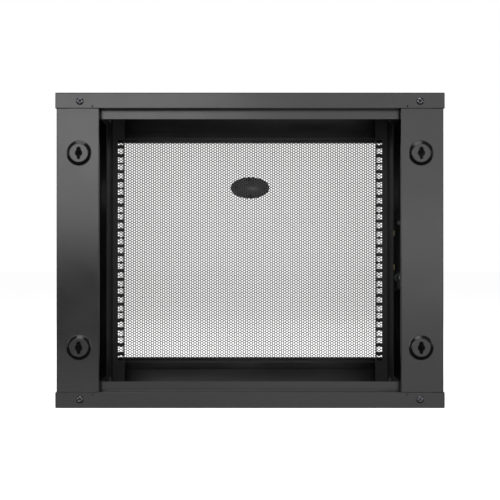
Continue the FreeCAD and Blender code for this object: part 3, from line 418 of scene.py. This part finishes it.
# %% [markdown]
# ## The oval badge
# A maker's badge is a low moulded dome with a bevelled rim. Four short pins on its back are pushed
# through the sheet. This one is left blank. Rings of points, each a little smaller and higher than the
# last, give its crowned face, and its back stays flat on the sheet.

# %% Mould the badge
BADGE_LOW, BADGE_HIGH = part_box("badge_plate")


def oval_badge():
    bm = bmesh.new()
    centre = (BADGE_LOW + BADGE_HIGH) / 2
    half = (BADGE_HIGH - BADGE_LOW) / 2
    back, front = BADGE_HIGH.y, BADGE_LOW.y
    depth = back - front
    profile = ((1.0, 0.0), (1.0, 0.45), (0.985, 0.62), (0.95, 0.7), (0.925, 0.66),
               (0.9, 0.66), (0.8, 0.8), (0.6, 0.92), (0.35, 0.98))
    steps = 96
    rings = []
    for shrink, rise in profile:
        rx = half.x - (1 - shrink) * half.z
        rz = half.z * shrink
        rings.append([bm.verts.new((centre.x + rx * math.cos(2 * math.pi * k / steps),
                                    back - depth * rise,
                                    centre.z + rz * math.sin(2 * math.pi * k / steps)))
                      for k in range(steps)])
    for near, far in zip(rings, rings[1:]):
        for k in range(steps):
            bm.faces.new((near[k], near[(k + 1) % steps], far[(k + 1) % steps], far[k]))
    bm.faces.new(rings[0])
    crown = bm.verts.new((centre.x, front, centre.z))
    for k in range(steps):
        bm.faces.new((rings[-1][k], rings[-1][(k + 1) % steps], crown))
    return mesh_from(bm, "oval_badge", BADGE_ABS, smooth=True)


keep("oval_badge", oval_badge(), "door", "badge", "badge_plate")

# %% [markdown]
# ## Cross-recess screws
# Pan heads are cold-formed: a flat seat, a quick round shoulder, a shallow dome and a tapered cross.
# One head is made as a mesh, with its cross pressed in as a real hollow, and Geometry Nodes set a copy at
# every screw of its group. Each is turned by its own angle, because nobody lines up screws by eye.

# %% One screw head
HEAD_RADIUS = 5.75 * MM
HEAD_HEIGHT = 3.2 * MM


def pan_head_mesh(radius, height):
    """A domed head on +Z with a cross pressed into it, its seat at Z = 0."""
    bm = bmesh.new()
    steps = 48
    arm, reach, deep = 0.14 * radius, 0.56 * radius, 0.55 * height
    profile = [(1.0, 0.0), (1.0, 0.22), (0.97, 0.42), (0.9, 0.6), (0.78, 0.76), (0.66, 0.86)]
    rings = []
    for wide, rise in profile:
        rings.append([bm.verts.new((radius * wide * math.cos(2 * math.pi * k / steps),
                                    radius * wide * math.sin(2 * math.pi * k / steps),
                                    height * rise)) for k in range(steps)])
    for near, far in zip(rings, rings[1:]):
        for k in range(steps):
            bm.faces.new((near[k], near[(k + 1) % steps], far[(k + 1) % steps], far[k]))
    seat = bm.faces.new(rings[0])
    seat.normal_flip()
    corners = []
    for quarter in range(4):
        turn = math.radians(90 * quarter)
        for x, y in ((reach, -arm), (reach, arm), (arm, arm)):
            corners.append((x * math.cos(turn) - y * math.sin(turn),
                            x * math.sin(turn) + y * math.cos(turn)))
    sides = len(corners)
    rim = [bm.verts.new((x, y, height * 0.97)) for x, y in corners]
    floor = [bm.verts.new((x * 0.62, y * 0.62, height * 0.97 - deep)) for x, y in corners]
    for k in range(sides):
        bm.faces.new((rim[k], rim[(k + 1) % sides], floor[(k + 1) % sides], floor[k]))
    bm.faces.new(floor)
    outer = rings[-1]
    for k in range(sides):
        first = nearest_step(corners[k], steps)
        last = nearest_step(corners[(k + 1) % sides], steps)
        if first == last:
            bm.faces.new((outer[first], rim[k], rim[(k + 1) % sides]))
        else:
            fan(bm, outer, first, last, rim[k], rim[(k + 1) % sides], steps)
    mesh = mesh_from(bm, "pan_head")
    for face in mesh.polygons:
        face.use_smooth = abs(face.normal.z) > 0.15 or face.center.length > 0.7 * radius
    return mesh


def nearest_step(corner, steps):
    return round(math.atan2(corner[1], corner[0]) / (2 * math.pi) * steps) % steps


def fan(bm, outer, first, last, a, b, steps):
    """Joins a stretch of the outer ring to one side of the cross."""
    span = (last - first) % steps
    stretch = [outer[(first + k) % steps] for k in range(span + 1)]
    middle = len(stretch) // 2
    for k in range(span):
        bm.faces.new((stretch[k], stretch[k + 1], a if k < middle else b))
    bm.faces.new((stretch[middle], b, a))


# %% A tree that sets a head at every screw
def screw_tree():
    tree, given = new_geometry_tree("screw_row", {
        "Head": "Object", "Seats": "Object", "Facing": "Vector", "Material": "Material",
        "Seed": "Int"})
    seats = node(tree, "GeometryNodeObjectInfo", {"Object": given["Seats"]})
    head = node(tree, "GeometryNodeObjectInfo", {"Object": given["Head"]})
    angle = node(tree, "FunctionNodeRandomValue", {"Seed": given["Seed"]}, data_type="FLOAT")
    angle.inputs[2].default_value = -0.7
    angle.inputs[3].default_value = 0.7
    twist = node(tree, "ShaderNodeVectorMath", {0: given["Facing"], 3: angle.outputs[1]},
                 operation="SCALE")
    laid = node(tree, "GeometryNodeInstanceOnPoints", {
        "Points": seats.outputs["Geometry"], "Instance": head.outputs["Geometry"],
        "Rotation": twist.outputs["Vector"]})
    finish_tree(tree, given, laid.outputs["Instances"])
    return tree


SCREW_TREE = screw_tree()


def screw_row(name, seats, facing, height, finish, slot, seed, *replaced):
    """Sets turned heads on a list of seats, all facing one way, and keeps them as one piece."""
    head = scratch_object("head", pan_head_mesh(HEAD_RADIUS, height))
    head.data.transform(Vector((0, 0, 1)).rotation_difference(Vector(facing)).to_matrix().to_4x4())
    points = bpy.data.meshes.new("seats")
    points.from_pydata(seats, [], [])
    spots = scratch_object("seats", points)
    mesh = grow(SCREW_TREE, {"Head": head, "Seats": spots, "Facing": facing,
                             "Material": finish, "Seed": seed}, name)
    bpy.data.objects.remove(head)
    bpy.data.objects.remove(spots)
    print(name, len(seats), "heads")
    keep(name, mesh, "carcass", slot, *replaced)


# %% Screws of the rear flanges and the rails
def rear_flange_seats():
    low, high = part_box("rear_flange_screws")
    y = high.y - HEAD_HEIGHT
    return [(x, y, z) for x in (low.x + HEAD_RADIUS, high.x - HEAD_RADIUS)
            for z in (low.z + HEAD_RADIUS, high.z - HEAD_RADIUS)]


screw_row("rear_flange_screw_heads", rear_flange_seats(), (0, 1, 0), HEAD_HEIGHT, DARK_ZINC,
          "black_zinc", 3, "rear_flange_screws")

RAIL_LOW, RAIL_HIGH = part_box("mounting_rail_right")
RAIL_SCREW_LOW, RAIL_SCREW_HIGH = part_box("rail_screws")
RAIL_HEAD_HEIGHT = 2.0 * MM
RAIL_WALL = 2.0 * MM
for word, sign in (("right", 1), ("left", -1)):
    wall_x = sign * (RAIL_HIGH.x - RAIL_WALL)
    seats = [(wall_x, (RAIL_SCREW_LOW.y + RAIL_SCREW_HIGH.y) / 2, z)
             for z in (RAIL_SCREW_LOW.z + HEAD_RADIUS, RAIL_SCREW_HIGH.z - HEAD_RADIUS)]
    screw_row("rail_screw_heads_" + word, seats, (-sign, 0, 0), RAIL_HEAD_HEIGHT, BRIGHT_ZINC,
              "bright_zinc", 5 + sign)

# %% [markdown]
# ## Floor, light and camera
# The cabinet stands in a white studio. Dark, smooth steel shows its lamps more than its own colour, so
# soft panels side by side behind the camera make one wall of light. Each is evenly bright, and the steps
# between them fade across the flanges. The brightest is high on one side and ends near the cabinet's
# middle height. Dim panels stand in front of the door, and narrow ones give glints on bends. What the
# room adds is weak and comes from above. To the camera the floor and the room are plain white, but the
# floor sends no light back up and shows in no reflection.

# %% Floor
def plane_mesh(name, half, z):
    bm = bmesh.new()
    corners = [bm.verts.new((x * half, y * half, z)) for x, y in ((-1, -1), (1, -1), (1, 1), (-1, 1))]
    bm.faces.new(corners)
    return mesh_from(bm, name)


FLOOR_GLOW = 0.86     # the share of the floor's white that no shadow can take away


def studio_floor():
    """A white sheet that takes the cabinet's shadow but sends no light back up to it."""
    material, tree, surface, place = new_material(
        "white_floor_sheet", Roughness=0.7, **{"Emission Strength": FLOOR_GLOW})
    surface.inputs["Base Color"].default_value = colour("#f4f4f4")
    surface.inputs["Emission Color"].default_value = (1.0, 1.0, 1.0, 1.0)
    floor = scratch_object("studio_floor", plane_mesh("studio_floor", 12.0, CAD_BOX[0][2] - 0.0002))
    floor.data.materials.append(material)
    floor.visible_glossy = floor.visible_diffuse = floor.visible_shadow = False


studio_floor()

# %% Room
scene = bpy.context.scene
scene.view_settings.view_transform = "Standard"
ROOM_LIGHT = 0.12        # how bright the upper half of the room looks from the cabinet
BACKDROP_LIGHT = 0.15    # and the wall beyond the door, which the door's glossy edges mirror


def studio_room():
    """White to the camera; to the cabinet, dim but for the white wall beyond the door."""
    world = bpy.data.worlds.new("white_room")
    world.use_nodes = True
    tree = world.node_tree
    background = tree.nodes["Background"]
    background.inputs["Color"].default_value = (1.0, 1.0, 1.0, 1.0)
    way = node(tree, "ShaderNodeSeparateXYZ", {
        "Vector": node(tree, "ShaderNodeTexCoord").outputs["Generated"]}).outputs
    sky = node(tree, "ShaderNodeMapRange", {
        "Value": way["Z"], "From Min": -0.2, "From Max": 0.5, "To Min": 0.02, "To Max": ROOM_LIGHT})
    wall = node(tree, "ShaderNodeMapRange", {
        "Value": way["Y"], "From Min": -0.8, "From Max": -0.95, "To Min": 0.0,
        "To Max": BACKDROP_LIGHT})
    both = node(tree, "ShaderNodeMath", {0: sky.outputs["Result"], 1: wall.outputs["Result"]},
                operation="ADD")
    seen = node(tree, "ShaderNodeLightPath").outputs["Is Camera Ray"]
    power = node(tree, "ShaderNodeMix", {"Factor": seen, 2: both.outputs[0], 3: 1.0},
                 data_type="FLOAT")
    tree.links.new(power.outputs[0], background.inputs["Strength"])
    scene.world = world


studio_room()

# %% Soft lamps
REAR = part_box("top_panel")[1].y
MIDDLE = CAD_BOX[1][2] / 2


def lamp_panel(name, place, size, brightness):
    """A rectangular lamp of a set brightness, whatever its size, not yet turned."""
    lamp = bpy.data.lights.new(name, "AREA")
    lamp.shape = "RECTANGLE"
    lamp.size, lamp.size_y = size
    lamp.energy = brightness * math.pi * lamp.size * lamp.size_y
    holder = bpy.data.objects.new(name, lamp)
    holder.location = place
    holder.visible_camera = False
    scene.collection.objects.link(holder)
    return holder


def soft_panel(name, low, high, y, brightness):
    """A panel standing at one Y and square to the cabinet, from its low corner to its high one."""
    (x0, z0), (x1, z1) = low, high
    holder = lamp_panel(name, ((x0 + x1) / 2, y, (z0 + z1) / 2), (x1 - x0, z1 - z0), brightness)
    holder.rotation_euler = (math.radians(90 if y < 0 else -90), 0, 0)


def strip_lamp(name, place, width, brightness):
    """A tall narrow lamp aimed at the cabinet, for the thin glints on rounded edges."""
    holder = lamp_panel(name, place, (width, STRIP_HEIGHT), brightness)
    aim = Vector((0, 0, MIDDLE)) - holder.location
    holder.rotation_euler = aim.to_track_quat("-Z", "Y").to_euler()


BEHIND = REAR + 2.0
BEYOND = -2.4
STRIP_HEIGHT = 0.8
soft_panel("key_panel", (0.05, MIDDLE + 0.04), (1.10, MIDDLE + 0.72), BEHIND, 3.85)
soft_panel("fill_panel", (-1.10, MIDDLE + 0.20), (0.05, MIDDLE + 0.72), BEHIND, 1.95)
soft_panel("fill_panel_low", (-1.10, MIDDLE - 0.18), (0.05, MIDDLE + 0.20), BEHIND, 2.45)
soft_panel("key_skirt", (0.05, MIDDLE - 0.33), (1.10, MIDDLE + 0.04), BEHIND, 0.2)
soft_panel("fill_skirt", (-1.10, MIDDLE - 0.33), (0.05, MIDDLE - 0.18), BEHIND, 1.0)
soft_panel("low_panel", (-1.10, MIDDLE - 0.90), (1.10, MIDDLE - 0.33), BEHIND, 1.3)
soft_panel("front_key_panel", (-1.9, MIDDLE + 0.3), (-0.6, MIDDLE + 1.5), BEYOND, 1.3)
soft_panel("front_fill_panel", (0.5, MIDDLE + 0.2), (1.6, MIDDLE + 1.2), BEYOND, 0.7)

for word, sign in (("left", 1), ("right", -1)):
    strip_lamp("rear_strip_" + word, (sign * 2.0, REAR + 1.1, MIDDLE + 0.3), 0.2, 16.0)
    strip_lamp("side_strip_" + word, (sign * 2.2, -0.5, MIDDLE + 0.6), 0.5, 4.0)
strip_lamp("top_strip", (0.2, REAR + 0.45, MIDDLE + 2.0), 1.6, 5.0)

# %% Camera
CAMERA_DISTANCE = 1.954
FIELD_WIDTH = 0.7698      # what the picture spans at the cabinet's rear face
SENSOR = 36.0
lens = bpy.data.cameras.new("camera")
lens.sensor_width = SENSOR
lens.lens = SENSOR * CAMERA_DISTANCE / FIELD_WIDTH
lens.clip_end = 50.0
camera = bpy.data.objects.new("camera", lens)
camera.location = (0.0, REAR + CAMERA_DISTANCE, MIDDLE + 0.0005)
camera.rotation_euler = (math.radians(90), 0, math.radians(180))
scene.collection.objects.link(camera)
scene.camera = camera
